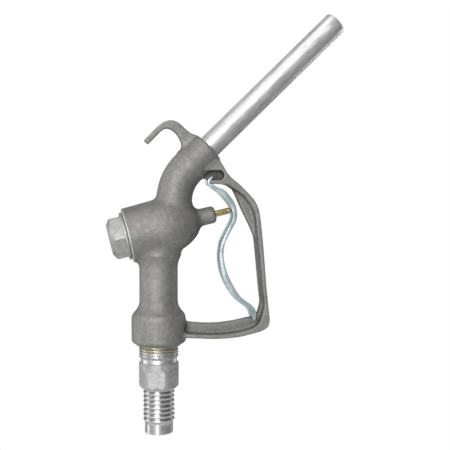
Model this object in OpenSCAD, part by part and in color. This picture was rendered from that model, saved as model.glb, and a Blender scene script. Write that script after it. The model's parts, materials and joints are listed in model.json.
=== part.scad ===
// Manual gravity and pump-fed fuel nozzle: a cast body with an integral trigger guard and
// hang hook, a globe valve across it, a straight spout, and a barbed hose tail below.
// Millimetres. +Z runs up the hose tail and grip, +X points to the spout side, and the
// origin is the centre of the hose tail's lower end.

/* [Hose tail] */
// Radius of the plain pilot at the hose end
tail_r = 11.8; // [11:0.1:12.5]
// Bore radius of the hose tail
tail_bore_r = 9.5; // [8:0.5:10]
// Radius over the barbs
barb_r = 13.2; // [12.8:0.1:14]
// Height of the lowest barb's edge
barb_z = 11.8; // [11:0.1:12.5]
// Distance from barb to barb
barb_pitch = 3.8; // [3.4:0.1:3.8]
// Number of barbs
barb_count = 7; // [5:1:7]
// Radius of the turned wrench block
block_r = 16.7; // [16:0.1:17]
// Distance across the wrench flats
block_flats = 30.4; // [29:0.1:31]
// Outside radius of the G 1 thread
thread_r = 16.6; // [16.5:0.05:16.65]

/* [Grip and inlet] */
// Radius of the grip
grip_r = 16.1; // [15.5:0.1:17]
// Radius of the inlet collar
inlet_collar_r = 22.8; // [22:0.1:24]
// Height of the inlet collar's lower face
inlet_z = 74; // [73:0.5:75]
// Radius of the fuel passage in the grip
passage_r = 11; // [9:0.5:11.5]

/* [Valve chamber] */
// Height where the valve axis crosses the grip axis
valve_z = 172.5; // [171:0.5:174]
// Angle of the valve axis above horizontal
valve_tilt = 13.5; // [12:0.5:15]
// Radius of the chamber
chamber_r = 24; // [23.5:0.1:25]
// Radius of the machined cap face
cap_face_r = 23; // [22:0.1:23.5]
// Distance across the cap's hexagon
cap_flats = 33.2; // [32:0.1:36]
// Radius of the stem boss
boss_r = 7.3; // [7:0.1:8]
// Radius of the brass valve stem
stem_r = 2.65; // [2.4:0.05:2.65]

/* [Spout] */
// Angle of the spout above horizontal
spout_tilt = 44.3; // [44:0.1:45]
// Outside radius of the spout tube
spout_r = 10; // [9.5:0.1:10]
// Bore radius of the spout tube
spout_bore_r = 8.5; // [7.5:0.1:8.5]
// Length of spout that stands out of the collar
spout_out = 154.5; // [120:0.5:200]
// Radius of the spout collar
spout_collar_r = 15; // [14.5:0.1:15.5]

/* [Guard and hook] */
// Depth of the guard rim across the nozzle
guard_depth = 24; // [20:1:26]
// Thickness of the webs in the guard's mid plane
web_t = 7; // [6:0.5:7]
// Thickness of the hang hook across the nozzle
hook_t = 9; // [8:0.5:12]

/* [Trigger] */
// Thickness of the pressed steel lever
lever_t = 2; // [1.6:0.1:2.2]
// Width of the lever
lever_w = 17; // [16:0.5:18]

/* [Hidden] */
$fn = 64;

CAST = [0.51, 0.51, 0.49];
BRASS = [0.78, 0.66, 0.36];
ZINC = [0.72, 0.77, 0.79];
MACHINED = [0.72, 0.72, 0.73];
RUBBER = [0.12, 0.12, 0.12];
FIBRE = [0.45, 0.18, 0.12];
STEEL = [0.6, 0.61, 0.63];

// Small play that keeps a thread or a fitted piece clear of its hole
play = 0.05;
// Overrun of every cutting tool past the face that it cuts
over = 1;

// Inlet: top of the hose tail, of the gasket on it, and of the strainer's rim
tail_top = 89.8;
inlet_gasket_top = 92;
strainer_rim_top = 94.2;
strainer_rim_r = 13.6;
mesh_r = 9.6;

// Chamber stations along the valve axis, measured from the grip axis towards the lever
cap_face_s = -26.9;
gasket_t = 0.6;
flange_s = cap_face_s - gasket_t;
flange_t = 1.8;
hex_s = flange_s - flange_t;
cap_end_s = -41.8;
plug_end_s = -19.3;
seat_wall_s = -3.5;
outlet_s = 2.5;
bush_s = 24;
gland_s = 33;
gland_end_s = 45.2;
boss_end_s = 49.5;
stem_tip_s = 63.2;
stem_foot_s = -19.8;
disc_s = -6.6;
disc_t = 3;
washer_t = 1.2;
lock_t = 0.9;
holder_s = -12;
spring_seat_s = -29;
seat_gasket_t = 0.6;

// Radii of the holes along the valve axis, and of the seat's flange
cap_thread_r = 17;
inlet_side_r = 17.6;
seat_hole_r = 12;
seat_flange_r = 14;
outlet_side_r = 13.2;
bush_hole_r = 6.5;
gland_r = 5.25;

// Spout bend: a quarter-like arc from the vertical into the spout's direction
bend_x = 52.3;
bend_z = 195;
bend_r = 39;
neck_r = 15;
neck_x = bend_x - bend_r;
bend_sweep = 90 - spout_tilt;
bend_end = [bend_x - bend_r * sin(spout_tilt), bend_z + bend_r * cos(spout_tilt)];
collar_end_d = 24.2;
spout_socket = 20;
// Turned-down end of the spout tube, which runs a little past the socket's mouth
spigot_r = spout_r - 0.5;
spigot_end_d = collar_end_d + 0.3;
// O-ring in the spout socket: its middle, and the radius of its wire
oring_d = collar_end_d - 10.7;
oring_wire_r = 0.85;

// Trigger pivot: the rounded lips that the lever's hooks hang on
pivot = [44.5, 211];
lip_r = 1.65;
hook_in_r = 1.8;
slot_half = web_t / 2 + 0.7;

// ---------- helpers ----------

// Point between b and c on a smooth curve that also knows its neighbours a and d
function between(a, b, c, d, t) =
    0.5 * (2 * b + (c - a) * t + (2 * a - 5 * b + 4 * c - d) * t * t
           + (3 * b - a - 3 * c + d) * t * t * t);

// A smooth curve through points p, with n steps from each point to the next
function smooth(p, n = 5) = concat(
    [for (i = [0 : len(p) - 2], k = [0 : n - 1])
        between(p[max(i - 1, 0)], p[i], p[i + 1], p[min(i + 2, len(p) - 1)], k / n)],
    [p[len(p) - 1]]);

// Points of an arc from angle a to angle b
function arc(c, r, a, b, n = 8) =
    [for (k = [0 : n]) c + r * [cos(a + (b - a) * k / n), sin(a + (b - a) * k / n)]];

function reverse(p) = [for (i = [len(p) - 1 : -1 : 0]) p[i]];

// Unit vector to the right of the path at point i
function right_of(p, i) =
    let (d = p[min(i + 1, len(p) - 1)] - p[max(i - 1, 0)], e = [d[0], d[1]])
    [e[1], -e[0]] / norm(e);

// Puts a flat outline drawn in X and Z into the mid plane, depth mm thick
module plate(depth) {
    rotate([90, 0, 0]) linear_extrude(height = depth, center = true) children();
}

// Places its children on the valve axis, s mm from the grip axis, with Z along the axis
module on_valve(s = 0) {
    translate([0, 0, valve_z]) rotate([0, 90 - valve_tilt, 0]) translate([0, 0, s]) children();
}

// Places its children on the spout axis, d mm past the end of the bend
module on_spout(d = 0) {
    translate([bend_end[0], 0, bend_end[1]]) rotate([0, 90 - spout_tilt, 0])
        translate([0, 0, d]) children();
}

// A flat ring, h mm thick
module ring(r_out, r_in, h) {
    difference() {
        cylinder(r = r_out, h = h);
        translate([0, 0, -over]) cylinder(r = r_in, h = h + 2 * over);
    }
}

// A round-section ring
module oring(r_mid, r_wire) {
    rotate_extrude() translate([r_mid, 0]) circle(r_wire);
}

// ---------- cast body ----------

// Inlet collar and grip, turned about the grip axis
module grip_outside() {
    corner = 4.5;
    shoulder_z = 97;
    step_z = 103;
    grip_foot_z = 110;
    rotate_extrude() polygon(concat(
        [[0, inlet_z], [inlet_collar_r - corner, inlet_z]],
        [for (a = [-75 : 15 : 0])
            [inlet_collar_r - corner + corner * cos(a), inlet_z + 1.5 + (corner - 1.5) * (1 + sin(a))]],
        [[inlet_collar_r, shoulder_z], [inlet_collar_r - 0.8, shoulder_z + 3],
         [inlet_collar_r - 2.6, shoulder_z + 5.4], [grip_r + 3.3, step_z],
         [grip_r + 2.9, step_z + 0.6], [grip_r + 0.9, grip_foot_z - 3],
         [grip_r, grip_foot_z], [grip_r, valve_z - 32], [grip_r + 1, valve_z - 27],
         [grip_r + 3, valve_z - 23], [grip_r, valve_z], [0, valve_z]]));
}

// Globe-shaped valve chamber, turned about the valve axis, with the stem boss
module chamber_outside() {
    dome_s = 2;
    dome_len = 34.5;
    boss_round = 3;
    on_valve() rotate_extrude() polygon(concat(
        [[0, cap_face_s], [cap_face_r, cap_face_s]],
        [for (a = [0 : 7.5 : 90]) [chamber_r * cos(a), dome_s + dome_len * sin(a)]]));
    on_valve(bush_s) rotate_extrude() polygon(concat(
        [[0, 0], [boss_r + 2.6, 0], [boss_r + 0.6, 9], [boss_r, 14]],
        [for (a = [0 : 22.5 : 90]) [boss_r - boss_round + boss_round * cos(a),
            boss_end_s - bush_s - boss_round + boss_round * sin(a)]],
        [[0, boss_end_s - bush_s]]));
}

// Upper neck: the bend rises out of the chamber and runs into the spout collar
module neck_outside() {
    bend_tube(neck_r, 4);
    on_spout() rotate_extrude() polygon([
        [0, -4], [12, -4], [spout_collar_r + 0.5, 2.4], [spout_collar_r + 0.5, 4],
        [spout_collar_r + 0.2, 6], [spout_collar_r, collar_end_d - 1.4],
        [spout_collar_r - 1, collar_end_d], [0, collar_end_d]]);
}

// Round tube along the bend, from inside the chamber to extra degrees past the bend's end
module bend_tube(r, extra) {
    foot = 20;
    translate([bend_x, 0, bend_z]) rotate([90, 0, 0]) rotate([0, 0, 180 - bend_sweep - extra])
        rotate_extrude(angle = bend_sweep + foot + extra) translate([bend_r, 0]) circle(r);
}

// Outer edge of the guard, from the spout collar round to the inlet collar
function guard_outer() = smooth([
    [50, 230], [52.5, 226], [58.5, 216.5], [68, 208.3], [75, 201.3], [80.2, 195.3],
    [83.4, 188.5], [85, 181], [86.3, 170], [88.5, 146], [90.3, 123], [92.3, 103],
    [93.2, 94.5], [91.8, 88.8], [87, 85.3], [78, 82.7], [64.5, 80.2], [48, 79.3],
    [32, 80.2], [18, 81]], 4);

// Inner edge of the full-depth rim, from the lever's lip round to the inlet collar
function guard_inner() = smooth([
    [48, 209.3], [54, 209.2], [59, 208], [62.3, 205.8], [67.3, 202.3], [73.3, 196.7],
    [78.4, 189.2], [80.8, 181.9], [81.9, 172], [83.6, 158], [85.4, 140], [87, 122],
    [88.5, 108], [87.4, 101], [85.6, 95], [83, 90.4], [77, 87], [64.5, 84.2], [48, 83],
    [32, 83.9], [18, 84.7]], 4);

// The rim with the head that joins it to the spout collar
module guard_rim() {
    head = [[30, 226], [30, 218.5], [37, 215], [41.5, 212.65]];
    lip = arc(pivot, lip_r, 90, 270, 8);
    difference() {
        plate(guard_depth) polygon(concat(
            guard_outer(), reverse(guard_inner()), reverse(lip), reverse(head)));
        lever_pockets();
    }
}

// Recess above each lip, on both sides of the mid-plane web, where the lever's hooks turn
module lever_pockets() {
    pocket_r = 4;
    pocket = [50.2, 216.65];
    pocket_left = 30;
    depth = (guard_depth - web_t) / 2;
    for (side = [-1, 1]) translate([0, side * (web_t + depth + over) / 2, 0])
        plate(depth + over) polygon(concat(
            arc(pocket, pocket_r, 90, -90, 8),
            [[pocket_left, pocket[1] - pocket_r], [pocket_left, pocket[1] + pocket_r]]));
}

// Web in the mid plane behind the rim's upper corner
module gusset_web() {
    edge = smooth([[48, 209.5], [56, 209], [60.4, 207.3], [64, 202.3], [68, 193.5],
                   [73.3, 182], [78.2, 172], [81, 165], [84.5, 155]], 4);
    plate(web_t) polygon(concat(edge, [[86, 155], [84, 178], [78, 193], [66, 205], [52, 214]]));
}

// Web in the mid plane along the lower strut, rounded into the rim at its far end
module strut_web() {
    top_r = 119.5;
    plate(web_t) polygon(concat(
        arc(pivot, top_r, -103, -75, 12),
        smooth([[79.5, 95.6], [83.6, 98.4], [85.6, 103], [87, 110]], 4),
        [[89.5, 110], [90, 92], [85, 86.5], [64, 82], [48, 81], [17, 82]]));
}

// Hook that hangs the nozzle in its holder
module hook_outside() {
    outer = smooth([[-11.9, 245.4], [-3.6, 254], [1.8, 259], [6.5, 261.7], [11.5, 262.3],
                    [16.8, 260.3], [22, 255.8], [26.5, 252.2], [31, 250.2]], 4);
    inner = smooth([[-8.4, 242.2], [-2, 248.8], [4.2, 254.6], [8.8, 255.4], [13.8, 252.6],
                    [18, 247.2], [19.8, 241], [18.6, 236.4], [16, 232]], 4);
    plate(hook_t) polygon(concat(outer, [[38, 240], [28, 228]], reverse(inner)));
}

// Fuel passages, valve seats and threads inside the casting
module passages() {
    grip_top = 140;
    port_foot = [-2, 0, 137];
    port_tilt = 26.5;
    port_r = 8.6;
    port_len = 24;
    stem_clearance = 0.25;
    bend_bore = 9.6;
    groove_w = 2.6;
    // inlet thread, strainer seat and grip passage
    translate([0, 0, inlet_z - over])
        cylinder(r = thread_r + play, h = inlet_gasket_top - inlet_z + over);
    translate([0, 0, inlet_gasket_top - over])
        cylinder(r = strainer_rim_r, h = strainer_rim_top - inlet_gasket_top + over);
    translate([0, 0, strainer_rim_top - over])
        cylinder(r = passage_r, h = grip_top - strainer_rim_top + over);
    // slanted port from the grip into the cap side of the chamber
    translate(port_foot) rotate([0, -port_tilt, 0]) cylinder(r = port_r, h = port_len);
    // cap thread, inlet side, seat hole, outlet side, bush, gland and stem hole
    on_valve(cap_face_s - over) cylinder(r = cap_thread_r, h = plug_end_s - cap_face_s + over);
    on_valve(plug_end_s - over / 2) cylinder(r = inlet_side_r, h = seat_wall_s - plug_end_s + over / 2);
    on_valve(seat_wall_s - over) cylinder(r = seat_hole_r, h = outlet_s - seat_wall_s + 2 * over);
    on_valve(outlet_s) cylinder(r = outlet_side_r, h = bush_s - outlet_s);
    on_valve(bush_s - over) cylinder(r = bush_hole_r, h = gland_s - bush_s + over);
    on_valve(gland_s - over) cylinder(r = gland_r, h = gland_end_s - gland_s + over);
    on_valve(gland_end_s - over)
        cylinder(r = stem_r + stem_clearance, h = boss_end_s - gland_end_s + 2 * over);
    // bend, spout bore, spout socket and its O-ring groove
    bend_tube(bend_bore, 0);
    on_spout(-3) cylinder(r = bend_bore - 0.4, h = collar_end_d - spout_socket + 3 + over);
    on_spout(collar_end_d - spout_socket) cylinder(r = spigot_r + play, h = spout_socket + over);
    on_spout(oring_d - groove_w / 2) cylinder(r = spigot_r + 2 * oring_wire_r + play, h = groove_w);
}

// The real body is one casting. Its neck, guard and hook are nodes of their own here, which
// meet the body face to face.
module body_casting() {
    color(CAST) difference() {
        union() {
            grip_outside();
            chamber_outside();
        }
        passages();
    }
}

module spout_neck() {
    color(CAST) difference() {
        neck_outside();
        chamber_outside();
        passages();
    }
}

module trigger_guard() {
    color(CAST) difference() {
        union() {
            guard_rim();
            gusset_web();
            strut_web();
        }
        grip_outside();
        neck_outside();
    }
}

module hang_hook() {
    color(CAST) difference() {
        hook_outside();
        neck_outside();
    }
}

// ---------- inlet ----------

// Barbed hose tail with its wrench block and thread
module hose_tail() {
    block_z = 39.7;
    block_top = 60;
    relief_top = 64.5;
    relief_r = 15.2;
    flat_top = 54.5;
    flat_foot = block_z - 4;
    flat_half_w = 9;
    corner_r = 3;
    corner_x = 3.9;
    cut = 10;
    // each barb: root, edge, and the end of the edge's land
    barb = [[tail_r, -2.6], [barb_r, -0.4], [barb_r, 0.3]];
    barbs = [for (i = [0 : barb_count - 1], corner = barb) corner + [0, barb_z + i * barb_pitch]];
    color(MACHINED) difference() {
        rotate_extrude() polygon(concat(
            [[tail_bore_r + 0.6, 0], [tail_r, 0]],
            barbs,
            [[tail_r + 0.4, block_z - 3.6], [block_r - 0.6, block_z], [block_r, block_z + 1],
             [block_r, block_top - 0.6], [block_r - 0.6, block_top], [relief_r, block_top],
             [relief_r, relief_top - 1], [thread_r, relief_top], [thread_r, tail_top - 1],
             [thread_r - 1, tail_top], [tail_bore_r, tail_top], [tail_bore_r, 0.6]]));
        // milled flats with rounded upper corners
        for (i = [0 : 5]) rotate([0, 0, i * 60 - 12]) translate([0, -block_flats / 2 - cut, 0]) {
            translate([-flat_half_w, 0, flat_foot])
                cube([2 * flat_half_w, cut, flat_top - corner_r - flat_foot]);
            translate([-corner_x, 0, flat_top - 2 * corner_r]) cube([2 * corner_x, cut, 2 * corner_r]);
            for (side = [-1, 1]) translate([side * corner_x, cut, flat_top - corner_r])
                rotate([90, 0, 0]) cylinder(r = corner_r, h = cut);
        }
    }
}

module inlet_gasket() {
    color(RUBBER) translate([0, 0, tail_top]) ring(thread_r - 0.2, 12.2, inlet_gasket_top - tail_top);
}

module strainer_rim() {
    color(BRASS) translate([0, 0, inlet_gasket_top])
        ring(strainer_rim_r - play, mesh_r, strainer_rim_top - inlet_gasket_top);
}

// Thimble of wire gauze standing on its rim inside the grip passage
module strainer_mesh() {
    top_z = 126;
    gauze_t = 0.6;
    top_r = 6;
    color(BRASS) rotate_extrude() polygon([
        [mesh_r, strainer_rim_top], [mesh_r + gauze_t, strainer_rim_top], [top_r + gauze_t, top_z],
        [0, top_z], [0, top_z - gauze_t], [top_r, top_z - gauze_t]]);
}

// ---------- spout ----------

module spout_tube() {
    start_d = collar_end_d - spout_socket;
    end_d = collar_end_d + spout_out;
    color(MACHINED) on_spout() rotate_extrude() polygon([
        [spout_bore_r, start_d], [spigot_r - 0.6, start_d], [spigot_r, start_d + 1],
        [spigot_r, spigot_end_d], [spout_r, spigot_end_d], [spout_r, end_d - 0.7],
        [spout_r - 0.5, end_d], [spout_bore_r + 0.3, end_d], [spout_bore_r, end_d - 0.4]]);
}

module spout_oring() {
    color(RUBBER) on_spout(oring_d)
        oring(spigot_r + oring_wire_r + play / 2, oring_wire_r);
}

// ---------- valve cap ----------

// Hexagon cap with its flange, threaded plug, spring recess and guide bore
module valve_cap() {
    plug_r = cap_thread_r - play;
    flange_r = 20;
    recess_r = 11.5;
    guide_r = 4.08;
    guide_end_s = -38.8;
    end_r = 12.6;
    chamfer_len = 4.4;
    hex_r = cap_flats / 2 / cos(30);
    color(MACHINED) on_valve() difference() {
        union() {
            translate([0, 0, hex_s]) cylinder(r = flange_r, h = flange_t);
            translate([0, 0, flange_s - over])
                cylinder(r = plug_r, h = plug_end_s - flange_s + over - 0.2);
            // hexagon with its end turned to a chamfer
            intersection() {
                translate([0, 0, cap_end_s]) rotate([0, 0, 30])
                    cylinder(r = hex_r, h = hex_s - cap_end_s + over, $fn = 6);
                rotate_extrude() polygon([
                    [0, cap_end_s], [end_r, cap_end_s], [hex_r + 0.4, cap_end_s + chamfer_len],
                    [hex_r + 0.4, hex_s + 2 * over], [0, hex_s + 2 * over]]);
            }
        }
        translate([0, 0, spring_seat_s - 1])
            cylinder(r = recess_r, h = plug_end_s - spring_seat_s + 2);
        translate([0, 0, guide_end_s]) cylinder(r = guide_r, h = spring_seat_s - guide_end_s);
    }
}

module cap_gasket() {
    color(FIBRE) on_valve(flange_s) ring(18.4, cap_thread_r + play, gasket_t);
}

// ---------- valve seat and disc ----------

module seat_ring() {
    seat_bore = 8.5;
    color(BRASS) on_valve() rotate_extrude() polygon([
        [seat_bore, disc_s], [seat_bore + 1.4, disc_s], [seat_bore + 1.8, disc_s + 1],
        [seat_flange_r, disc_s + 1], [seat_flange_r, seat_wall_s - seat_gasket_t],
        [seat_hole_r - play, seat_wall_s - seat_gasket_t], [seat_hole_r - play, outlet_s],
        [seat_bore, outlet_s]]);
}

module seat_gasket() {
    color(FIBRE) on_valve(seat_wall_s - seat_gasket_t)
        ring(seat_flange_r, seat_hole_r + 0.1, seat_gasket_t);
}

// Brass cup that carries the disc, with the post that slides in the cap
module disc_holder() {
    post_r = 4;
    post_end_s = -32;
    cup_r = 12.5;
    wall = 1.1;
    color(BRASS) on_valve() rotate_extrude() polygon([
        [0, post_end_s], [post_r - 0.6, post_end_s], [post_r, post_end_s + 0.8],
        [post_r, holder_s], [cup_r, holder_s], [cup_r, disc_s - 1], [cup_r - wall, disc_s - 1],
        [cup_r - wall, disc_s - disc_t], [stem_r, disc_s - disc_t], [stem_r, stem_foot_s - 0.2],
        [0, stem_foot_s - 0.2]]);
}

module valve_disc() {
    color(RUBBER) on_valve(disc_s - disc_t) ring(11.35, stem_r, disc_t);
}

module disc_washer() {
    color(STEEL) on_valve(disc_s) ring(7.4, stem_r, washer_t);
}

// Split spring washer under the nut
module lock_washer() {
    split = 0.6;
    color(STEEL) on_valve(disc_s + washer_t) difference() {
        ring(4.6, stem_r, lock_t);
        translate([0, -split / 2, -over]) cube([6, split, lock_t + 2 * over]);
    }
}

module disc_nut() {
    flats = 8;
    height = 3.6;
    color(BRASS) on_valve(disc_s + washer_t + lock_t) difference() {
        cylinder(r = flats / 2 / cos(30), h = height, $fn = 6);
        translate([0, 0, -over]) cylinder(r = stem_r, h = height + 2 * over);
    }
}

// ---------- spring ----------

// Ring of points round the wire where the coil has turned by angle a
function wire_ring(a, z, coil_r, wire_r, sides) =
    [for (k = [0 : sides - 1]) let (w = 360 * k / sides, r = coil_r + wire_r * cos(w))
        [r * cos(a), r * sin(a), z + wire_r * sin(w)]];

// Compression spring between the cap and the disc holder, with closed ends
module main_spring() {
    coil_r = 8.6;
    wire_r = 0.8;
    sides = 8;
    steps = 20;
    turns = 7;
    closed = 1;
    low = spring_seat_s + 1 + wire_r + 0.02;
    high = holder_s - wire_r - 0.02;
    rings = turns * steps;
    function height(i) = let (t = i / steps)
        t < closed ? low + t * 2 * wire_r
        : t > turns - closed ? high - (turns - t) * 2 * wire_r
        : low + 2 * wire_r + (t - closed) / (turns - 2 * closed) * (high - low - 4 * wire_r);
    points = [for (i = [0 : rings], p = wire_ring(360 * i / steps, height(i), coil_r, wire_r, sides)) p];
    start_cap = [[for (k = [0 : sides - 1]) k]];
    end_cap = [[for (k = [sides - 1 : -1 : 0]) rings * sides + k]];
    skin = [for (i = [0 : rings - 1], k = [0 : sides - 1]) let (m = (k + 1) % sides)
        [i * sides + m, i * sides + k, (i + 1) * sides + k, (i + 1) * sides + m]];
    color(STEEL) on_valve() polyhedron(points, concat(start_cap, skin, end_cap));
}

// Thin hardened plate between the spring and the soft cap
module spring_plate() {
    color(STEEL) on_valve(spring_seat_s) ring(11.2, 4.6, 1);
}

// ---------- stem and its seals ----------

// Brass stem, rounded where the lever pushes it
module valve_stem() {
    fit_r = stem_r - 0.01;
    color(BRASS) on_valve() {
        translate([0, 0, stem_foot_s]) cylinder(r = fit_r, h = stem_tip_s - stem_r - stem_foot_s);
        translate([0, 0, stem_tip_s - stem_r]) sphere(r = fit_r);
    }
}

// Flanged bush pressed into the outlet wall
module guide_bush() {
    flange_h = 2;
    color(BRASS) on_valve(bush_s - flange_h) difference() {
        union() {
            cylinder(r = 8.6, h = flange_h);
            cylinder(r = bush_hole_r - play, h = gland_s - bush_s + flange_h);
        }
        translate([0, 0, -over])
            cylinder(r = stem_r + play, h = gland_s - bush_s + flange_h + 2 * over);
    }
}

module seal_washer() {
    color(STEEL) on_valve(gland_s) ring(gland_r - play, stem_r + play, 0.7);
}

module stem_orings() {
    for (s = [gland_s + 2, gland_s + 7.5])
        color(RUBBER) on_valve(s) oring(stem_r + 1.28, 1.22);
}

module seal_spacer() {
    color(BRASS) on_valve(gland_s + 3.4) ring(gland_r - play, stem_r + play, 2.7);
}

module stem_wiper() {
    color(FIBRE) on_valve(gland_s + 9)
        ring(gland_r - play, stem_r + play, gland_end_s - gland_s - 9.1);
}

// ---------- trigger lever ----------

// Face of the lever towards the grip: x, z, and the depth of the folded edges there
function lever_face() = smooth([
    [44, 206.9, 2], [48, 203.9, 3], [51.6, 201, 4.6], [56.2, 196, 4.6], [59.6, 191.6, 4.2],
    [61.8, 186.6, 3.6], [62.2, 180.8, 3.2], [59.8, 175, 3], [55.6, 167.2, 2.9],
    [52.4, 159.8, 2.9], [51, 152, 3], [50.9, 145.4, 3.4], [52, 136.8, 4.2],
    [54.4, 129, 4.7], [57.8, 122, 4.8], [61.6, 115.8, 4.6], [66.4, 110.2, 4.4],
    [72.2, 105.8, 4.4], [76.2, 102.2, 4.8], [78.2, 98.2, 4.2], [79.8, 93.3, 2]], 4);

// Offset of the face to its right, by t or by the fold's own depth where t is 0
function beside(face, t) = [for (i = [0 : len(face) - 1])
    [face[i][0], face[i][1]] - (t > 0 ? t : face[i][2]) * right_of(face, i)];

function flat_face(face) = [for (p = face) [p[0], p[1]]];

module trigger_lever() {
    face = lever_face();
    start_angle = 231;
    hook_out = hook_in_r + lever_t;
    tip_len = 3.2;
    slot_r = 8.5;
    fork_r = 116;
    // hooked tongue and web
    color(ZINC) difference() {
        plate(lever_w) polygon(concat(
            [pivot + hook_out * [cos(135), sin(135)] + tip_len * [cos(45), sin(45)]],
            arc(pivot, hook_out, 135, start_angle, 10),
            flat_face(face),
            reverse(beside(face, lever_t)),
            arc(pivot, hook_in_r, start_angle, 135, 10),
            [pivot + hook_in_r * [cos(135), sin(135)] + tip_len * [cos(45), sin(45)]]));
        // slot between the hooks, clear of the gusset web
        translate([pivot[0], 0, pivot[1]]) rotate([90, 0, 0])
            cylinder(r = slot_r, h = 2 * slot_half, center = true);
        // fork that straddles the strut web
        difference() {
            translate([pivot[0] + 20, 0, pivot[1] - 130]) cube([60, 2 * slot_half, 60], center = true);
            translate([pivot[0], 0, pivot[1]]) rotate([90, 0, 0])
                cylinder(r = fork_r, h = lever_w, center = true);
        }
    }
    // folded edges
    for (side = [-1, 1]) color(ZINC) translate([0, side * (lever_w - lever_t) / 2, 0])
        plate(lever_t) polygon(concat(flat_face(face), reverse(beside(face, 0))));
}

body_casting();
spout_neck();
trigger_guard();
hang_hook();
hose_tail();
inlet_gasket();
strainer_rim();
strainer_mesh();
spout_tube();
spout_oring();
valve_cap();
cap_gasket();
seat_ring();
seat_gasket();
disc_holder();
valve_disc();
disc_washer();
lock_washer();
disc_nut();
main_spring();
spring_plate();
valve_stem();
guide_bush();
seal_washer();
stem_orings();
seal_spacer();
stem_wiper();
trigger_lever();
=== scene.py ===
"""Looks for a manual fuel nozzle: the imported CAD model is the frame, and every visible piece is
rebuilt or refinished around it. Lengths are metres; MM turns millimetres into metres."""

import json
import math

import bmesh
import bpy
import numpy as np
from mathutils import Matrix, Vector, noise


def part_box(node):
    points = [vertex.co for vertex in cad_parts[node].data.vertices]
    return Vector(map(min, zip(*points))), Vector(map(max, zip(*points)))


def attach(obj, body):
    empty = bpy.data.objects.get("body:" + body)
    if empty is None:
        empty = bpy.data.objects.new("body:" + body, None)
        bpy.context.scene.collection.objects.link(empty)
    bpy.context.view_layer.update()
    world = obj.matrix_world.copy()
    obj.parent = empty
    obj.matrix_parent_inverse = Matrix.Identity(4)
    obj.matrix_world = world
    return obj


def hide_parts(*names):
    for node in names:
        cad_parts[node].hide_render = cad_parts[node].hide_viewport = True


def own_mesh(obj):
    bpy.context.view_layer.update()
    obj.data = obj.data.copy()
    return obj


MM = 0.001
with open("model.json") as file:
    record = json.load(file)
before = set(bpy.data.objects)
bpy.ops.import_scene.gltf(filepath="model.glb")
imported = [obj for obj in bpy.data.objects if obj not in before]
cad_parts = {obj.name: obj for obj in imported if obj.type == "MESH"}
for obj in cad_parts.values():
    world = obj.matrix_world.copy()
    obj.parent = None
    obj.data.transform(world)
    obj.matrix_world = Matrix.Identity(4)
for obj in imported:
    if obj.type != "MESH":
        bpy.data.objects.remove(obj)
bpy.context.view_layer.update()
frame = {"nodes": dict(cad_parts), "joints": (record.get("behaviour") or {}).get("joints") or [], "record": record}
RECORD = frame["record"]
MOUNTS = {m["name"]: m for m in RECORD["mounts"]}
JOINTS = {j["name"]: j for j in frame["joints"]}
NODES = frame["nodes"]


# ---------- places taken from the frame ----------

def centre(node):
    """Middle of a CAD node's box, which is on the axis of anything turned."""
    low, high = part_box(node)
    return (low + high) / 2


def axis_matrix(origin, axis):
    """Matrix whose Z runs along axis from origin, and whose Y stays as close as it can to +Y."""
    z = Vector(axis).normalized()
    y = (Vector((0, 1, 0)) - z * z.y).normalized()
    x = y.cross(z)
    m = Matrix((x, y, z)).transposed().to_4x4()
    m.translation = Vector(origin)
    return m


INTO_VALVE = Vector(JOINTS["valve_slide"]["axis"])
OUT_OF_VALVE = -INTO_VALVE
PIVOT = Vector(JOINTS["lever_hinge"]["pos_m"])
SPOUT_DIR = Vector(MOUNTS["spout_outside"]["axis"])
SPOUT_POINT = Vector(MOUNTS["spout_outside"]["pos_m"])
UPRIGHT = Matrix.Identity(4)  # the inlet and the hose tail are turned about the frame's own Z
VALVE_AXIS = axis_matrix(centre("seal_spacer"), OUT_OF_VALVE)
SPOUT_AXIS = axis_matrix(SPOUT_POINT, SPOUT_DIR)
CAST_NODES = ["body_casting", "spout_neck", "trigger_guard", "hang_hook"]


def along(matrix, node):
    """Lowest and highest station of a CAD node along a matrix's Z."""
    inverse = matrix.inverted()
    stations = [(inverse @ v.co).z for v in NODES[node].data.vertices]
    return min(stations), max(stations)


CAP_FACE = along(VALVE_AXIS, "cap_gasket")[1]
BOSS_END = along(VALVE_AXIS, "body_casting")[1]
COLLAR_END = along(SPOUT_AXIS, "spout_neck")[1]
INLET_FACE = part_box("body_casting")[0].z
CHAMBER_DEPTH = 26.9 * MM
CHAMBER = VALVE_AXIS @ Vector((0, 0, CAP_FACE + CHAMBER_DEPTH))
TAIL_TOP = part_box("hose_tail")[1].z
BLOCK_LOW, BLOCK_TOP = 39.7 * MM, 60 * MM
FLAT_TOP, THREAD_START = 54.5 * MM, 64.5 * MM


# ---------- mesh helpers ----------

def add_object(name, mesh):
    obj = bpy.data.objects.new(name, mesh)
    bpy.context.scene.collection.objects.link(obj)
    return obj


def grid_object(name, rings, matrix):
    """A skin through closed rings of points, with the last ring joined to the first."""
    count = len(rings[0])
    mesh = bpy.data.meshes.new(name)
    points = [p for ring in rings for p in ring]
    faces = []
    for i in range(len(rings)):
        here, there = i * count, ((i + 1) % len(rings)) * count
        for k in range(count):
            after = (k + 1) % count
            faces.append((here + k, here + after, there + after, there + k))
    mesh.from_pydata(points, [], faces)
    mesh.transform(matrix)
    mesh.validate()
    mesh.update()
    return add_object(name, mesh)


def turned(name, profile, matrix, segments=128, shape=None):
    """A turned piece from a closed profile of (radius, station); shape may change a radius by angle."""
    rings = []
    for radius, station in profile:
        ring = []
        for k in range(segments):
            angle = math.tau * k / segments
            r = shape(radius, angle, station) if shape else radius
            ring.append((r * math.cos(angle), r * math.sin(angle), station))
        rings.append(ring)
    obj = grid_object(name, rings, matrix)
    face_out(obj)
    shade(obj)
    return obj


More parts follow.
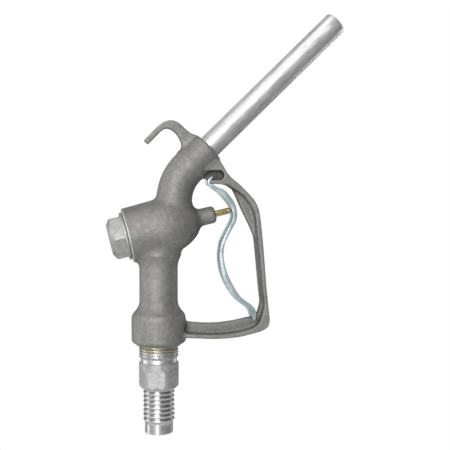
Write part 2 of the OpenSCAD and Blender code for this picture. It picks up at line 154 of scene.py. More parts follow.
def face_out(obj):
    """Turns every face of a closed mesh outwards."""
    bm = bmesh.new()
    bm.from_mesh(obj.data)
    bmesh.ops.recalc_face_normals(bm, faces=bm.faces)
    bm.to_mesh(obj.data)
    bm.free()


def shade(obj, angle=35):
    """Smooth shading with sharp edges past angle, in degrees."""
    for p in obj.data.polygons:
        p.use_smooth = True
    obj.data.set_sharp_from_angle(angle=math.radians(angle))


def apply_modifiers(obj):
    """Bakes an object's modifiers into its mesh."""
    graph = bpy.context.evaluated_depsgraph_get()
    mesh = bpy.data.meshes.new_from_object(obj.evaluated_get(graph))
    obj.modifiers.clear()
    obj.data = mesh


def copy_of(nodes, name):
    """A new object with copies of CAD nodes' meshes in one, free of their materials."""
    bm = bmesh.new()
    for node in nodes:
        bm.from_mesh(NODES[node].data)
    bmesh.ops.remove_doubles(bm, verts=bm.verts, dist=0.01 * MM)
    mesh = bpy.data.meshes.new(name)
    bm.to_mesh(mesh)
    bm.free()
    return add_object(name, mesh)


def soften(obj, width, angle):
    """Rounds a CAD copy's sharp edges, and lays its flat faces out in single polygons."""
    bm = bmesh.new()
    bm.from_mesh(obj.data)
    bmesh.ops.dissolve_limit(bm, angle_limit=math.radians(1), verts=bm.verts, edges=bm.edges)
    bm.to_mesh(obj.data)
    bm.free()
    bevel = obj.modifiers.new("edges", "BEVEL")
    bevel.width = width
    bevel.segments = 3
    bevel.limit_method = "ANGLE"
    bevel.angle_limit = math.radians(angle)
    apply_modifiers(obj)
    shade(obj, angle)


def coordinates(mesh):
    """A mesh's vertices as rows of x, y, z."""
    co = np.empty(len(mesh.vertices) * 3)
    mesh.vertices.foreach_get("co", co)
    return co.reshape(-1, 3)


def normals(mesh):
    """A mesh's vertex normals as rows of x, y, z."""
    n = np.empty(len(mesh.vertices) * 3)
    mesh.vertex_normals.foreach_get("vector", n)
    return n.reshape(-1, 3)


def edge_pairs(mesh):
    """The two vertex numbers of each edge."""
    e = np.empty(len(mesh.edges) * 2, dtype=np.int64)
    mesh.edges.foreach_get("vertices", e)
    return e.reshape(-1, 2)


def write_back(mesh, co):
    """Puts rows of x, y, z back into a mesh."""
    mesh.vertices.foreach_set("co", co.reshape(-1))
    mesh.update()


def neighbour_mean(co, ends, starts, degree):
    """Mean place of each vertex's neighbours."""
    total = [np.bincount(ends, weights=co[starts, k], minlength=len(co)) for k in range(3)]
    return np.stack(total, axis=1) / degree[:, None]


def ease(value, start, end):
    """0 at start and 1 at end, eased between; start may be the larger of the two."""
    t = np.clip((value - start) / (end - start), 0, 1)
    return t * t * (3 - 2 * t)


def local_of(co, matrix):
    """Points in a matrix's own axes."""
    inverse = np.array(matrix.inverted())
    return co @ inverse[:3, :3].T + inverse[:3, 3]


def finish_piece(obj, nodes, body, material):
    """Puts a piece on its body, in its CAD nodes' place, with its finish."""
    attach(obj, body)
    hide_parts(*nodes)
    obj.data.materials.clear()
    obj.data.materials.append(material)


# ---------- material helpers ----------

class Finish:
    """A node material on one Principled shader, with short calls for the usual nodes."""

    def __init__(self, name, metallic, roughness, colour):
        self.material = bpy.data.materials.new(name)
        self.material.use_nodes = True
        self.tree = self.material.node_tree
        self.shader = self.tree.nodes["Principled BSDF"]
        self.shader.inputs["Metallic"].default_value = metallic
        self.shader.inputs["Roughness"].default_value = roughness
        self.shader.inputs["Base Color"].default_value = (*colour, 1)
        self.place = self.tree.nodes.new("ShaderNodeTexCoord").outputs["Object"]

    def link(self, source, socket):
        self.tree.links.new(source, socket)

    def stretched(self, matrix, scale):
        """Object coordinates turned into matrix's own axes and scaled, for grain that runs one way."""
        turn = self.tree.nodes.new("ShaderNodeMapping")
        turn.vector_type = "TEXTURE"
        turn.inputs["Location"].default_value = matrix.translation
        turn.inputs["Rotation"].default_value = matrix.to_euler()
        self.link(self.place, turn.inputs["Vector"])
        size = self.tree.nodes.new("ShaderNodeVectorMath")
        size.operation = "MULTIPLY"
        size.inputs[1].default_value = scale
        self.link(turn.outputs["Vector"], size.inputs[0])
        return size.outputs[0]

    def parts(self, matrix):
        """Station along matrix's Z and radius from that axis, both as sockets."""
        split = self.tree.nodes.new("ShaderNodeSeparateXYZ")
        self.link(self.stretched(matrix, (1, 1, 1)), split.inputs[0])
        squares = [self.math("MULTIPLY", split.outputs[k], split.outputs[k]) for k in (0, 1)]
        return split.outputs[2], self.math("SQRT", self.math("ADD", *squares), 0)

    def step(self, value, start, end):
        """Eased 0 to 1 while value goes from start to end; start may be the larger."""
        n = self.tree.nodes.new("ShaderNodeMapRange")
        n.interpolation_type = "SMOOTHSTEP"
        low, high = min(start, end), max(start, end)
        n.inputs["From Min"].default_value, n.inputs["From Max"].default_value = low, high
        if start > end:
            n.inputs["To Min"].default_value, n.inputs["To Max"].default_value = 1, 0
        self.link(value, n.inputs["Value"])
        return n.outputs[0]

    def face(self, matrix, start, end, radius):
        """1 inside radius of matrix's Z, once the station has gone from start to end."""
        station, distance = self.parts(matrix)
        inside = self.step(distance, radius, radius - 1 * MM)
        return self.math("MULTIPLY", self.step(station, start, end), inside)

    def shelter(self, distance):
        """1 in the open, falling towards 0 in recesses."""
        n = self.tree.nodes.new("ShaderNodeAmbientOcclusion")
        n.inputs["Distance"].default_value = distance
        n.samples = 8
        return n.outputs["AO"]

    def edges(self):
        """Above 0.5 on raised edges of the mesh and below it in creases."""
        return self.tree.nodes.new("ShaderNodeNewGeometry").outputs["Pointiness"]

    def noise(self, scale, detail=3, rough=0.55, vector=None, distortion=0):
        """Soft noise, in object coordinates unless a vector is given."""
        n = self.tree.nodes.new("ShaderNodeTexNoise")
        n.inputs["Scale"].default_value = scale
        n.inputs["Detail"].default_value = detail
        n.inputs["Roughness"].default_value = rough
        n.inputs["Distortion"].default_value = distortion
        self.link(vector or self.place, n.inputs["Vector"])
        return n.outputs["Fac"]

    def cells(self, scale):
        """Distance from the middle of scattered cells."""
        n = self.tree.nodes.new("ShaderNodeTexVoronoi")
        n.inputs["Scale"].default_value = scale
        self.link(self.place, n.inputs["Vector"])
        return n.outputs["Distance"]

    def ramp(self, fac, stops):
        """Colour or grey level by fac, through stops of (position, value)."""
        n = self.tree.nodes.new("ShaderNodeValToRGB")
        n.color_ramp.elements[0].position = stops[0][0]
        n.color_ramp.elements[1].position = stops[-1][0]
        for position, _ in stops[1:-1]:
            n.color_ramp.elements.new(position)
        for element, (_, value) in zip(n.color_ramp.elements, stops):
            element.color = (*value, 1) if isinstance(value, tuple) else (value, value, value, 1)
        self.link(fac, n.inputs["Fac"])
        return n.outputs["Color"]

    def math(self, operation, a, b):
        """One sum on two sockets or numbers."""
        n = self.tree.nodes.new("ShaderNodeMath")
        n.operation = operation
        for socket, value in zip(n.inputs, (a, b)):
            if isinstance(value, (int, float)):
                socket.default_value = value
            else:
                self.link(value, socket)
        return n.outputs[0]

    def mix(self, fac, a, b, blend="MIX"):
        """Colour a at fac 0 and b at fac 1; each may be a socket, a colour or a number."""
        n = self.tree.nodes.new("ShaderNodeMix")
        n.data_type = "RGBA"
        n.blend_type = blend
        # a Mix node has a set of sockets for each data type, and these are the ones for colours
        for index, value in ((0, fac), (6, a), (7, b)):
            if isinstance(value, (int, float)):
                n.inputs[index].default_value = value
            elif isinstance(value, tuple):
                n.inputs[index].default_value = (*value, 1)
            else:
                self.link(value, n.inputs[index])
        return n.outputs[2]

    def bump(self, height, strength, distance, below=None):
        """A normal with height on it, over the normal below when one is given."""
        n = self.tree.nodes.new("ShaderNodeBump")
        n.inputs["Strength"].default_value = strength
        n.inputs["Distance"].default_value = distance
        self.link(height, n.inputs["Height"])
        if below is not None:
            self.link(below, n.inputs["Normal"])
        return n.outputs["Normal"]

    def done(self, colour, roughness=None, normal=None, metallic=None):
        """Links what was made to the shader, and returns the material."""
        for name, value in (("Base Color", colour), ("Roughness", roughness), ("Normal", normal),
                            ("Metallic", metallic)):
            if value is not None:
                self.link(value, self.shader.inputs[name])
        return self.material


def turned_faces(f):
    """1 where the casting was turned bright: round the cap, the stem boss, the collar's end, the inlet."""
    bright = f.face(VALVE_AXIS, CAP_FACE + 1.3 * MM, CAP_FACE + 0.9 * MM, 25 * MM)
    boss = f.face(VALVE_AXIS, BOSS_END - 0.35 * MM, BOSS_END - 0.1 * MM, 6 * MM)
    station = f.parts(VALVE_AXIS)[0]
    short_of_web = f.step(station, BOSS_END + 2 * MM, BOSS_END + 1 * MM)
    boss = f.math("MULTIPLY", boss, short_of_web)
    collar = f.face(SPOUT_AXIS, COLLAR_END - 0.3 * MM, COLLAR_END - 0.1 * MM, 15 * MM)
    inlet = f.face(UPRIGHT, INLET_FACE + 0.4 * MM, INLET_FACE + 0.15 * MM, 20 * MM)
    for face in (boss, collar, inlet):
        bright = f.math("MAXIMUM", bright, face)
    return bright


def cast_finish():
    """Shot-blasted sand casting: fine grain, pits, painted shade in the recesses, rubbed edges, turned faces."""
    f = Finish("cast_aluminium", 0.4, 0.58, (0.3, 0.3, 0.285))
    stain = f.noise(38, 4, 0.6)
    stain = f.ramp(stain, [(0.32, (0.184, 0.182, 0.172)), (0.7, (0.232, 0.230, 0.220))])
    grain = f.noise(1700, 3, 0.7)
    grain_tone = f.ramp(grain, [(0.3, 0.66), (0.7, 1.2)])
    patch = f.ramp(f.noise(260, 4, 0.65), [(0.34, 0.84), (0.66, 1.12)])
    colour = f.mix(1.0, f.mix(1.0, stain, grain_tone, "MULTIPLY"), patch, "MULTIPLY")
    pits = f.ramp(f.cells(420), [(0.05, 0.0), (0.22, 1.0)])
    colour = f.mix(0.35, colour, f.mix(1.0, colour, pits, "MULTIPLY"))
    # painted shade darkening the recesses, rubbed metal on the edges
    painted_recess_shade = f.ramp(f.shelter(11 * MM), [(0.2, 0.2), (0.5, 0.68), (0.85, 1.0)])
    colour = f.mix(1.0, colour, painted_recess_shade, "MULTIPLY")
    rubbed = f.ramp(f.edges(), [(0.53, 0.0), (0.62, 1.0)])
    rubbed = f.math("MULTIPLY", rubbed, f.ramp(f.noise(190, 4, 0.7), [(0.4, 0.15), (0.62, 0.8)]))
    colour = f.mix(rubbed, colour, (0.42, 0.42, 0.41))
    bright = turned_faces(f)
    turned_tone = f.ramp(f.noise(500, 4, 0.6), [(0.3, (0.40, 0.40, 0.395)), (0.7, (0.56, 0.56, 0.55))])
    colour = f.mix(f.math("MULTIPLY", bright, 0.8), colour, turned_tone)
    rough = f.ramp(f.noise(300, 3), [(0.3, 0.5), (0.7, 0.66)])
    rough = f.mix(bright, rough, (0.36, 0.36, 0.36))
    # mould unevenness, grain and pits, and the faint seam where the mould's halves met
    place = f.tree.nodes.new("ShaderNodeSeparateXYZ")
    f.link(f.place, place.inputs[0])
    off_middle = f.math("ABSOLUTE", place.outputs["Y"], 0)
    seam = f.step(off_middle, 0.55 * MM, 0.15 * MM)
    normal = f.bump(f.noise(260, 4, 0.62), 0.5, 0.35 * MM)
    normal = f.bump(grain, 0.75, 0.16 * MM, normal)
    normal = f.bump(pits, 0.4, 0.12 * MM, normal)
    normal = f.bump(seam, 0.5, 0.12 * MM, normal)
    return f.done(colour, rough, normal)


def drawn_finish():
    """Drawn aluminium tube: satin, with fine soft streaks along its length and a few dull marks."""
    f = Finish("drawn_aluminium", 0.66, 0.4, (0.7, 0.7, 0.7))
    streak = f.noise(1, 3, 0.6, f.stretched(SPOUT_AXIS, (900, 900, 14)))
    wide = f.noise(1, 2, 0.5, f.stretched(SPOUT_AXIS, (160, 160, 9)))
    colour = f.ramp(wide, [(0.3, (0.57, 0.57, 0.575)), (0.7, (0.69, 0.69, 0.695))])
    colour = f.mix(1.0, colour, f.ramp(streak, [(0.3, 0.9), (0.7, 1.04)]), "MULTIPLY")
    blur = f.noise(1, 4, 0.7, f.stretched(SPOUT_AXIS, (420, 420, 90)))
    colour = f.mix(1.0, colour, f.ramp(blur, [(0.32, 0.82), (0.66, 1.08)]), "MULTIPLY")
    marks = f.ramp(f.noise(150, 5, 0.7), [(0.60, 1.0), (0.72, 0.86)])
    colour = f.mix(1.0, colour, marks, "MULTIPLY")
    colour = f.mix(1.0, colour, f.ramp(f.noise(1500, 3, 0.7), [(0.3, 0.92), (0.7, 1.05)]), "MULTIPLY")
    rough = f.ramp(blur, [(0.3, 0.32), (0.7, 0.5)])
    normal = f.bump(f.noise(500, 2, 0.5), 0.06, 0.03 * MM)
    return f.done(colour, rough, normal)


def turned_finish(name, matrix, base, dark, metallic=0.9, rough_low=0.22, rough_high=0.36):
    """Turned metal: fine rings round matrix's Z, with a few handling marks."""
    f = Finish(name, metallic, rough_low, base)
    rings = f.noise(1, 2, 0.6, f.stretched(matrix, (30, 30, 3200)))
    marks = f.noise(320, 4, 0.6)
    colour = f.ramp(marks, [(0.32, dark), (0.62, base)])
    colour = f.mix(1.0, colour, f.ramp(rings, [(0.3, 0.9), (0.7, 1.05)]), "MULTIPLY")
    rough = f.ramp(rings, [(0.3, rough_low), (0.7, rough_high)])
    normal = f.bump(rings, 0.2, 0.02 * MM)
    return f.done(colour, rough, normal)


def tail_finish():
    """Turned and milled hose tail: rings from the lathe, a duller wrench block, oil in the thread."""
    shine, dull_shine = 0.92, 0.5
    f = Finish("machined_steel", shine, 0.3, (0.62, 0.62, 0.61))
    rings = f.noise(1, 2, 0.6, f.stretched(UPRIGHT, (30, 30, 3200)))
    colour = f.ramp(f.noise(320, 4, 0.6), [(0.32, (0.52, 0.52, 0.525)), (0.62, (0.66, 0.66, 0.66))])
    colour = f.mix(1.0, colour, f.ramp(rings, [(0.3, 0.86), (0.7, 1.06)]), "MULTIPLY")
    z, r = f.parts(UPRIGHT)
    above_barbs = f.step(z, BLOCK_LOW - 2.2 * MM, BLOCK_LOW - 0.2 * MM)
    block = f.math("MULTIPLY", above_barbs, f.step(z, BLOCK_TOP + 0.4 * MM, BLOCK_TOP - 0.4 * MM))
    mottled = f.ramp(f.noise(700, 4, 0.7), [(0.35, 0.46), (0.65, 0.68)])
    colour = f.mix(block, colour, f.mix(1.0, colour, mottled, "MULTIPLY"))
    # darker in the roots between the barbs, and those of the thread hold oil
    root = f.math("MULTIPLY", f.step(r, 12.9 * MM, 12.1 * MM), f.step(z, 9 * MM, 10 * MM))
    root = f.math("MULTIPLY", root, f.step(z, 38 * MM, 36 * MM))
    colour = f.mix(f.math("MULTIPLY", root, 0.7), colour, (0.34, 0.34, 0.34))
    thread = f.step(z, 66 * MM, 73 * MM)
    crest = f.step(r, 15.3 * MM, 16.5 * MM)
    oily = f.mix(crest, (0.20, 0.17, 0.07), (0.66, 0.62, 0.44))
    colour = f.mix(f.math("MULTIPLY", thread, 0.75), colour, oily)
    turned_rough = f.ramp(rings, [(0.3, 0.27), (0.7, 0.37)])
    milled_rough = f.ramp(rings, [(0.3, 0.52), (0.7, 0.62)])
    rough = f.mix(block, turned_rough, milled_rough)
    above_block = f.step(z, BLOCK_TOP - 0.2 * MM, BLOCK_TOP + 0.3 * MM)
    rough = f.mix(above_block, rough, (0.42, 0.42, 0.42))
    normal = f.bump(rings, 0.25, 0.02 * MM)
    normal = f.bump(f.noise(600, 3, 0.6), 0.2, 0.05 * MM, normal)
    metallic = f.mix(block, (shine, shine, shine), (dull_shine, dull_shine, dull_shine))
    return f.done(colour, rough, normal, metallic)


def zinc_finish():
    """Bright zinc plate with its bluish passivation, slightly uneven, with painted shade greying it in the folds.
    """
    f = Finish("zinc_plate", 0.6, 0.3, (0.62, 0.69, 0.72))
    tone = f.ramp(f.noise(110, 3, 0.5, distortion=0.3),
                  [(0.3, (0.36, 0.46, 0.48)), (0.5, (0.43, 0.52, 0.54)), (0.72, (0.54, 0.60, 0.61))])
    spots = f.ramp(f.noise(900, 3, 0.6), [(0.35, 0.94), (0.6, 1.0)])
    colour = f.mix(1.0, tone, spots, "MULTIPLY")
    # painted shade: ambient occlusion darkens the colour in the folds
    painted_fold_shade = f.ramp(f.shelter(3 * MM), [(0.3, 0.5), (0.8, 1.0)])
    colour = f.mix(1.0, colour, painted_fold_shade, "MULTIPLY")
    rough = f.ramp(f.noise(260, 3), [(0.3, 0.28), (0.7, 0.38)])
    normal = f.bump(f.noise(500, 2), 0.04, 0.03 * MM)
    return f.done(colour, rough, normal)


def rubber_finish():
    """Black seal rubber with a dusty bloom."""
    f = Finish("rubber", 0, 0.7, (0.03, 0.03, 0.032))
    colour = f.ramp(f.noise(400, 3), [(0.3, (0.022, 0.022, 0.024)), (0.7, (0.045, 0.045, 0.048))])
    rough = f.ramp(f.noise(900), [(0.3, 0.6), (0.7, 0.8)])
    return f.done(colour, rough, f.bump(f.noise(2600), 0.3, 0.03 * MM))


def fibre_finish():
    """Dark grey pressed fibre."""
    f = Finish("fibre", 0, 0.75, (0.10, 0.10, 0.095))
    colour = f.ramp(f.noise(1200, 4), [(0.3, (0.07, 0.07, 0.066)), (0.7, (0.14, 0.14, 0.13))])
    rough = f.ramp(f.noise(700), [(0.3, 0.65), (0.7, 0.85)])
    return f.done(colour, rough, f.bump(f.noise(1800), 0.4, 0.04 * MM))


def gauze_finish():
    """Woven brass wire: crossed ridges of bump, with painted shade for the dark openings between."""
    f = Finish("gauze", 0.9, 0.35, (0.62, 0.48, 0.22))
    weave = f.cells(1400)
    # painted shade: the openings between the wires are coloured dark instead of being holes
    colour = f.ramp(weave, [(0.25, (0.66, 0.52, 0.25)), (0.6, (0.10, 0.075, 0.03))])
    return f.done(colour, f.ramp(weave, [(0.2, 0.3), (0.7, 0.6)]), f.bump(weave, 0.6, 0.1 * MM))


# ---------- pieces ----------

def cast_body(material):
    """The casting with soft cast edges and filled inside corners, grown from the CAD meshes."""
    full_voxel, quick_voxel = 0.6 * MM, 1.2 * MM
    voxel = full_voxel
    obj = copy_of(CAST_NODES, "casting")
    remesh = obj.modifiers.new("remesh", "REMESH")
    remesh.mode = "VOXEL"
    remesh.voxel_size = voxel
    apply_modifiers(obj)
    mesh = obj.data
    fine = fine_mask(coordinates(mesh))
    co = fill_corners(mesh, fine, (full_voxel / voxel) ** 2)
    write_back(mesh, co)
    raised = cast_waves(co, 0.07 * MM) * fine + collar_step(co)
    co = co + normals(mesh) * raised[:, None]
    write_back(mesh, co)
    for p in mesh.polygons:
        p.use_smooth = True
    finish_piece(obj, CAST_NODES, "nozzle", material)


def fill_corners(mesh, fine, scale):
    """Places of the vertices once every edge is softened a little, and inside corners go on filling
    where the fillet masks say. The counts of steps are for a scale of 1."""
    co = coordinates(mesh)
    pairs = edge_pairs(mesh)
    ends = np.concatenate([pairs[:, 0], pairs[:, 1]])
    starts = np.concatenate([pairs[:, 1], pairs[:, 0]])
    degree = np.maximum(np.bincount(ends, minlength=len(co)), 1).astype(float)
    middling, large = fillet_masks(co)
    soften_steps, middling_steps, large_steps = (max(3, round(n * scale)) for n in (9, 30, 150))
    fill_rate, wear_rate, slide_rate, settle_rate = 0.8, 0.16, 0.2, 0.25
    for step in range(large_steps):
        if step % 5 == 0:
            write_back(mesh, co)
            n = normals(mesh)
        pull = neighbour_mean(co, ends, starts, degree) - co
        out = np.einsum("ij,ij->i", pull, n)
        fill = large if step >= middling_steps else np.maximum(large, middling)
        wear = 0.0
        if step < soften_steps:
            fill = np.ones(len(co))
            wear = wear_rate
        moved = np.where(out > 0, fill_rate * fill, wear) * fine
        slide = slide_rate * np.maximum(fill, 0.2)[:, None] * (pull - n * out[:, None])
        co = co + n * (out * moved)[:, None] + slide
    for _ in range(3):
        pull = neighbour_mean(co, ends, starts, degree) - co
        co = co + settle_rate * fine[:, None] * pull
    return co


def fine_mask(co):
    """1 on cast skin, and near 0 by the lever's hooks, the stem and the machined mouths."""
    machined = 0.05
    mask = np.ones(len(co))
    lips = np.hypot(co[:, 0] - PIVOT.x, co[:, 2] - PIVOT.z)
    mask *= 0.08 + 0.92 * ease(lips, 7 * MM, 13 * MM)
    valve = local_of(co, VALVE_AXIS)
    radius = np.hypot(valve[:, 0], valve[:, 1])
    mask *= np.where(radius < 5 * MM, machined, 1)
    mask *= np.where((valve[:, 2] < CAP_FACE + 4 * MM) & (radius < 19 * MM), machined, 1)
    mouth = np.hypot(co[:, 0], co[:, 1])
    ledge = ease(co[:, 2], INLET_FACE + 20 * MM, INLET_FACE + 23 * MM)
    ledge = ledge * ease(co[:, 2], INLET_FACE + 37 * MM, INLET_FACE + 33 * MM)
    mask *= 1 - 0.7 * ledge * (mouth < 25 * MM)
    mask *= np.where((mouth < 18 * MM) & (co[:, 2] < TAIL_TOP), machined, 1)
    collar = local_of(co, SPOUT_AXIS)
    socket = np.hypot(collar[:, 0], collar[:, 1])
    mask *= np.where((socket < 12 * MM) & (collar[:, 2] > COLLAR_END - 4 * MM), machined, 1)
    return mask


def fillet_masks(co):
    """Where the pattern maker left middling fillets, and where large ones."""
    chamber = np.linalg.norm(co - np.array(CHAMBER), axis=1)
    large = ease(chamber, 46 * MM, 36 * MM)
    radius = np.hypot(co[:, 0], co[:, 1])
    strut = ease(radius, 33 * MM, 27 * MM) * (co[:, 0] > 0) * (radius > 20 * MM)
    strut = strut * ease(co[:, 2], INLET_FACE + 1 * MM, INLET_FACE + 5 * MM)
    hook_low, hook_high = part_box("hang_hook")
    root = ease(co[:, 0], 10 * MM, 18 * MM) * ease(co[:, 0], hook_high.x + 8 * MM, hook_high.x)
    root = root * ease(co[:, 2], hook_low.z - 8 * MM, hook_low.z)
    return np.maximum(root, 0.8 * strut), large


def collar_step(co):
    """The spout collar stands a little proud of the neck behind it."""
    local = local_of(co, SPOUT_AXIS)
    radius = np.hypot(local[:, 0], local[:, 1])
    rise = ease(local[:, 2], COLLAR_END - 22.2 * MM, COLLAR_END - 21.2 * MM)
    skin = ease(radius, 13 * MM, 14 * MM) * ease(radius, 17.5 * MM, 16.2 * MM)
    return 0.3 * MM * rise * skin * (local[:, 2] < COLLAR_END + 1 * MM)


def cast_waves(co, height):
    """Low unevenness of a sand mould, in metres along the normal."""
    waves_per_metre = 70
    return np.array([noise.noise(Vector(p) * waves_per_metre) * height for p in co])


def lever(material):
    """The pressed lever with rounded sheet edges."""
    obj = copy_of(["trigger_lever"], "lever")
    soften(obj, 0.35 * MM, 40)
    finish_piece(obj, ["trigger_lever"], "lever", material)


def spout(material):
    """Drawn tube with a deburred mouth, turned down where it screws into the collar."""
    low, high = along(SPOUT_AXIS, "spout_tube")
    outer = MOUNTS["spout_outside"]["dims"]["r_mm"] * MM
    inner = MOUNTS["spout_bore"]["dims"]["r_mm"] * MM
    turned_down = 0.5 * MM
    spigot = outer - turned_down
    step = COLLAR_END + 0.3 * MM
    rim = [(0, 0.8), (0.16, 0.5), (0.36, 0.22), (0.6, 0.03), (0.75, 0)]
    profile = [(inner, low), (spigot - 0.6 * MM, low), (spigot, low + 1 * MM)]
    profile += [(spigot, step), (outer - 0.15 * MM, step), (outer, step + 0.15 * MM)]
    profile += [(outer, step + (high - step) * k / 16) for k in range(1, 16)]
    profile += [(outer - a * MM, high - b * MM) for a, b in rim]
    profile += [(inner + 0.4 * MM, high), (inner + 0.12 * MM, high - 0.12 * MM), (inner, high - 0.4 * MM)]
    profile += [(inner, high + (low - high) * k / 16) for k in range(1, 16)]
    obj = turned("spout", profile, SPOUT_AXIS, 192)
    finish_piece(obj, ["spout_tube"], "nozzle", material)


def cap(material):
    """Hexagon cap with its chamfered end and round flange, its edges just broken."""
    obj = copy_of(["valve_cap"], "hex_cap")
    soften(obj, 0.28 * MM, 25)
    finish_piece(obj, ["valve_cap"], "nozzle", material)


def hose_tail(material):
    """Hose tail: pilot, barbs, wrench block with milled flats, undercut and a real helical thread."""
    low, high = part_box("hose_tail")
    pilot_r = MOUNTS["hose_tail_end"]["dims"]["r_mm"] * MM
    bore_r = MOUNTS["hose_tail_bore"]["dims"]["r_mm"] * MM
    block_r = high.x
    thread_r, depth, pitch = 16.6 * MM, 1.3 * MM, 2.309 * MM

    def shape(radius, angle, station):
        if radius > thread_r - 0.001 * MM and station > THREAD_START:
            turn = (station / pitch + angle / math.tau) % 1
            return radius - depth * tooth(turn) * fade(station, THREAD_START, high.z)
        if BLOCK_LOW < station < BLOCK_TOP - 1 * MM and radius > pilot_r + 2 * MM:
            return milled(radius, angle, station)
        return radius

    profile = [(bore_r + 0.6 * MM, low.z), (pilot_r - 0.5 * MM, low.z), (pilot_r, low.z + 0.5 * MM)]
    profile += [(pilot_r, z * MM) for z in (0.9, 3, 6, 8.6)]
    profile += barbs(pilot_r)
    profile += wrench_block(pilot_r, block_r)
    profile += undercut()
    rows = int((high.z - THREAD_START) / pitch * 12)
    profile += [(thread_r, THREAD_START + (high.z - THREAD_START) * (k + 0.5) / rows) for k in range(rows)]
    profile += [(thread_r - depth, high.z), (bore_r, high.z), (bore_r, low.z + 0.6 * MM)]
    obj = turned("barbed_tail", profile, UPRIGHT, 288, shape)
    shade(obj, 32)
    finish_piece(obj, ["hose_tail"], "nozzle", material)


def barbs(root_r):
    """Profile of the seven barbs, each rising from the hose's end and dropping behind its crest."""
    count, spacing, first_crest = 7, 3.8 * MM, 11.8 * MM
    section = [(0.1, -2.5), (0.55, -1.6), (1.1, -0.8), (1.35, -0.3),
               (1.35, 0.1), (1.15, 0.45), (0.5, 0.75), (0.15, 1)]
    crests = [first_crest + i * spacing for i in range(count)]
    return [(root_r + rise * MM, crest + run * MM) for crest in crests for rise, run in section]


def wrench_block(root_r, block_r):
    """Profile of the block before its flats are milled, with close rows where their rounded tops end."""
    profile = [(root_r + 0.4 * MM, BLOCK_LOW - 3.6 * MM)]
    profile += [(block_r - 0.8 * MM, BLOCK_LOW - 0.2 * MM), (block_r - 0.25 * MM, BLOCK_LOW + 0.3 * MM)]
    profile += [(block_r, z) for z in np.linspace(BLOCK_LOW + 1 * MM, FLAT_TOP + 0.4 * MM, 60)]
    profile += [(block_r, BLOCK_TOP - 1 * MM), (block_r, BLOCK_TOP - 0.6 * MM)]
    profile += [(block_r - 0.6 * MM, BLOCK_TOP)]
    return profile


def undercut():
    """Profile of the groove between the block and the thread."""
    groove_r = 15.2 * MM
    stations = (BLOCK_TOP, BLOCK_TOP + 0.5 * MM, THREAD_START - 1.5 * MM, THREAD_START - 1.2 * MM)
    return [(groove_r, z) for z in stations]


def milled(radius, angle, station):
    """Radius of the wrench block once its six flats are milled, each with a rounded top end."""
    across_flats, corner_x, corner_r = 30.4 * MM, 3.9 * MM, 3 * MM
    flat_step, first_flat = math.tau / 6, math.radians(-102)
    off = (angle - first_flat + flat_step / 2) % flat_step - flat_step / 2
    aside = max(abs(radius * math.sin(off)) - corner_x, 0)
    if station > FLAT_TOP - corner_r and math.hypot(aside, station - FLAT_TOP + corner_r) > corner_r:
        return radius
    return min(radius, across_flats / 2 / math.cos(off))


def tooth(turn):
    """Depth share of a 55 degree thread at a share of its pitch, with rounded root and crest."""
    v = abs(turn * 2 - 1)
    return 0.5 - 0.5 * math.cos(math.pi * min(max((v - 0.08) / 0.84, 0), 1))


def fade(station, start, end):
    """Runs a thread out over its first and last turn."""
    run = 1.6 * MM
    return min(1, (station - start) / run + 0.35, (end - station) / run + 0.35)


def stem(material):
    """Brass stem with a domed tip."""
    low, high = along(VALVE_AXIS, "valve_stem")
    r, pin_hole = 2.64 * MM, 0.05 * MM
    profile = [(pin_hole, low), (r, low)]
    profile += [(r, low + (high - r - low) * k / 8) for k in range(1, 9)]
    for degrees in range(10, 91, 10):
        a = math.radians(degrees)
        profile.append((max(r * math.cos(a), pin_hole), high - r + r * math.sin(a)))
    obj = turned("stem", profile, VALVE_AXIS, 64)
    finish_piece(obj, ["valve_stem"], "valve", material)


def spring(material):
    """The closing spring, which in the real nozzle shortens towards the cap as the valve opens; here a copy on a
    mesh of its own.
    """
    obj = copy_of(["main_spring"], "closing_spring")
    shade(obj, 60)
    finish_piece(obj, ["main_spring"], "nozzle", material)
    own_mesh(obj)


# ---------- stage ----------

def towards(azimuth, elevation):
    """Direction for an azimuth, from the front to the right, and an elevation, both in degrees."""
    a, e = math.radians(azimuth), math.radians(elevation)
    return Vector((math.sin(a) * math.cos(e), -math.cos(a) * math.cos(e), math.sin(e)))


def area_light(name, place, target, size, power):
    """A rectangular lamp that points at target and is not seen itself."""
    data = bpy.data.lights.new(name, "AREA")
    data.shape = "RECTANGLE"
    data.size, data.size_y = size
    data.energy = power
    obj = bpy.data.objects.new(name, data)
    obj.location = place
    obj.rotation_euler = (Vector(target) - Vector(place)).to_track_quat("-Z", "Y").to_euler()
    obj.visible_camera = False
    bpy.context.scene.collection.objects.link(obj)


def plain_material(name, colour, roughness):
    """One even colour, just uneven enough to look real."""
    f = Finish(name, 0, roughness, colour)
    tone = f.ramp(f.noise(3, 2), [(0.3, tuple(c * 0.985 for c in colour)), (0.7, colour)])
    return f.done(tone)


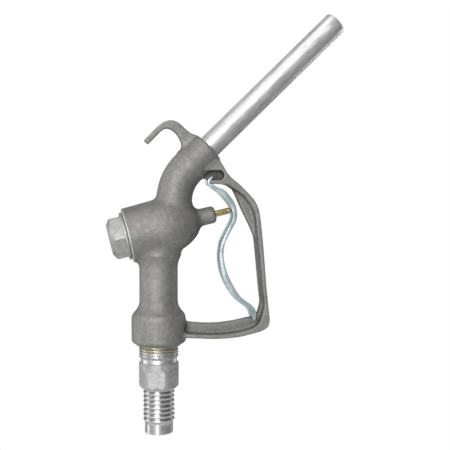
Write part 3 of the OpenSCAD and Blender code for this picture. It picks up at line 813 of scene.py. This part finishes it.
def studio_world():
    """White surround for the picture; the light from it gets dimmer from left to right."""
    left_level, right_level = 0.36, 0.12
    world = bpy.data.worlds.new("studio")
    world.use_nodes = True
    tree = world.node_tree
    lit = tree.nodes["Background"]
    seen = tree.nodes.new("ShaderNodeBackground")
    seen.inputs["Color"].default_value = (1, 1, 1, 1)
    direction = tree.nodes.new("ShaderNodeTexCoord")
    side = tree.nodes.new("ShaderNodeSeparateXYZ")
    ramp = tree.nodes.new("ShaderNodeValToRGB")
    span = tree.nodes.new("ShaderNodeMapRange")
    span.inputs["From Min"].default_value = -1
    tree.links.new(direction.outputs["Generated"], side.inputs[0])
    tree.links.new(side.outputs["X"], span.inputs["Value"])
    tree.links.new(span.outputs["Result"], ramp.inputs["Fac"])
    for element, position, level in zip(ramp.color_ramp.elements, (0.05, 0.7), (left_level, right_level)):
        element.position = position
        element.color = (level, level, level, 1)
    tree.links.new(ramp.outputs["Color"], lit.inputs["Color"])
    path = tree.nodes.new("ShaderNodeLightPath")
    mix = tree.nodes.new("ShaderNodeMixShader")
    tree.links.new(path.outputs["Is Camera Ray"], mix.inputs[0])
    tree.links.new(lit.outputs[0], mix.inputs[1])
    tree.links.new(seen.outputs[0], mix.inputs[2])
    tree.links.new(mix.outputs[0], tree.nodes["World Output"].inputs["Surface"])
    bpy.context.scene.world = world


def stage(middle):
    """Round pale floor under the nozzle, a softbox in front, strips beside it, and weaker lamps below
    in front, behind and above."""
    drop, radius, rings = 0.16, 0.42, 96
    mesh = bpy.data.meshes.new("floor")
    points = [(middle.x + radius * math.cos(math.tau * k / rings),
               radius * math.sin(math.tau * k / rings), -drop) for k in range(rings)]
    mesh.from_pydata(points, [], [tuple(range(rings))])
    floor = add_object("floor", mesh)
    mesh.materials.append(plain_material("floor", (0.8, 0.8, 0.8), 0.9))
    studio_world()
    # name, azimuth and elevation in degrees, distance, width and height, watts
    lamps = [
        ("key", -22, 14, 1.5, (0.55, 1.1), 26),
        ("left_strip", -100, 5, 1.2, (0.35, 1.2), 5),
        ("right_strip", 118, 5, 1.3, (0.18, 1.2), 4),
        ("low_front", -22, -18, 1.4, (0.2, 0.6), 2.4),
        ("back", 176, 4, 1.3, (0.5, 1.2), 2.2),
        ("top", -40, 70, 1.4, (0.8, 0.8), 5),
    ]
    for name, azimuth, elevation, distance, size, power in lamps:
        area_light(name, middle + distance * towards(azimuth, elevation), middle, size, power)
    bpy.context.scene.view_settings.view_transform = "Standard"


def camera():
    """Camera a little to the left of the nozzle and above its middle, as a product photo has it."""
    azimuth, elevation, distance = -9.5, 2.4, 0.730
    aim = Vector((0.0566, 0, 0.1746))
    back = towards(azimuth, elevation)
    data = bpy.data.cameras.new("camera")
    data.sensor_width = 36
    data.lens = 68.8
    obj = bpy.data.objects.new("camera", data)
    obj.location = aim + back * distance
    obj.rotation_euler = (-back).to_track_quat("-Z", "Y").to_euler()
    bpy.context.scene.collection.objects.link(obj)
    bpy.context.scene.camera = obj


# ---------- build ----------

BRASS = turned_finish("brass", VALVE_AXIS, (0.76, 0.64, 0.30), (0.60, 0.48, 0.20),
                      rough_low=0.16, rough_high=0.28)
STEEL = turned_finish("steel", VALVE_AXIS, (0.46, 0.465, 0.47), (0.36, 0.365, 0.37))
SPRING_STEEL = turned_finish("spring_steel", VALVE_AXIS, (0.30, 0.30, 0.31), (0.2, 0.2, 0.21),
                             rough_low=0.3)
CAP_METAL = turned_finish("machined_aluminium", VALVE_AXIS, (0.36, 0.36, 0.355), (0.27, 0.27, 0.265),
                          metallic=0.55, rough_low=0.44, rough_high=0.56)

camera()
cast_body(cast_finish())
spout(drawn_finish())
cap(CAP_METAL)
hose_tail(tail_finish())
lever(zinc_finish())
stem(BRASS)
spring(SPRING_STEEL)

INNER = {
    "rubber": (rubber_finish(), ["inlet_gasket", "spout_oring", "valve_disc", "stem_orings"]),
    "fibre": (fibre_finish(), ["cap_gasket", "seat_gasket", "stem_wiper"]),
    "gauze": (gauze_finish(), ["strainer_mesh"]),
    "brass": (BRASS, ["strainer_rim", "seat_ring", "disc_holder", "disc_nut", "guide_bush", "seal_spacer"]),
    "steel": (STEEL, ["disc_washer", "lock_washer", "spring_plate", "seal_washer"]),
}
for finish, names in INNER.values():
    for name in names:
        NODES[name].data.materials.clear()
        NODES[name].data.materials.append(finish)

MIDDLE = Vector((0.056, 0, 0.17))
stage(MIDDLE)
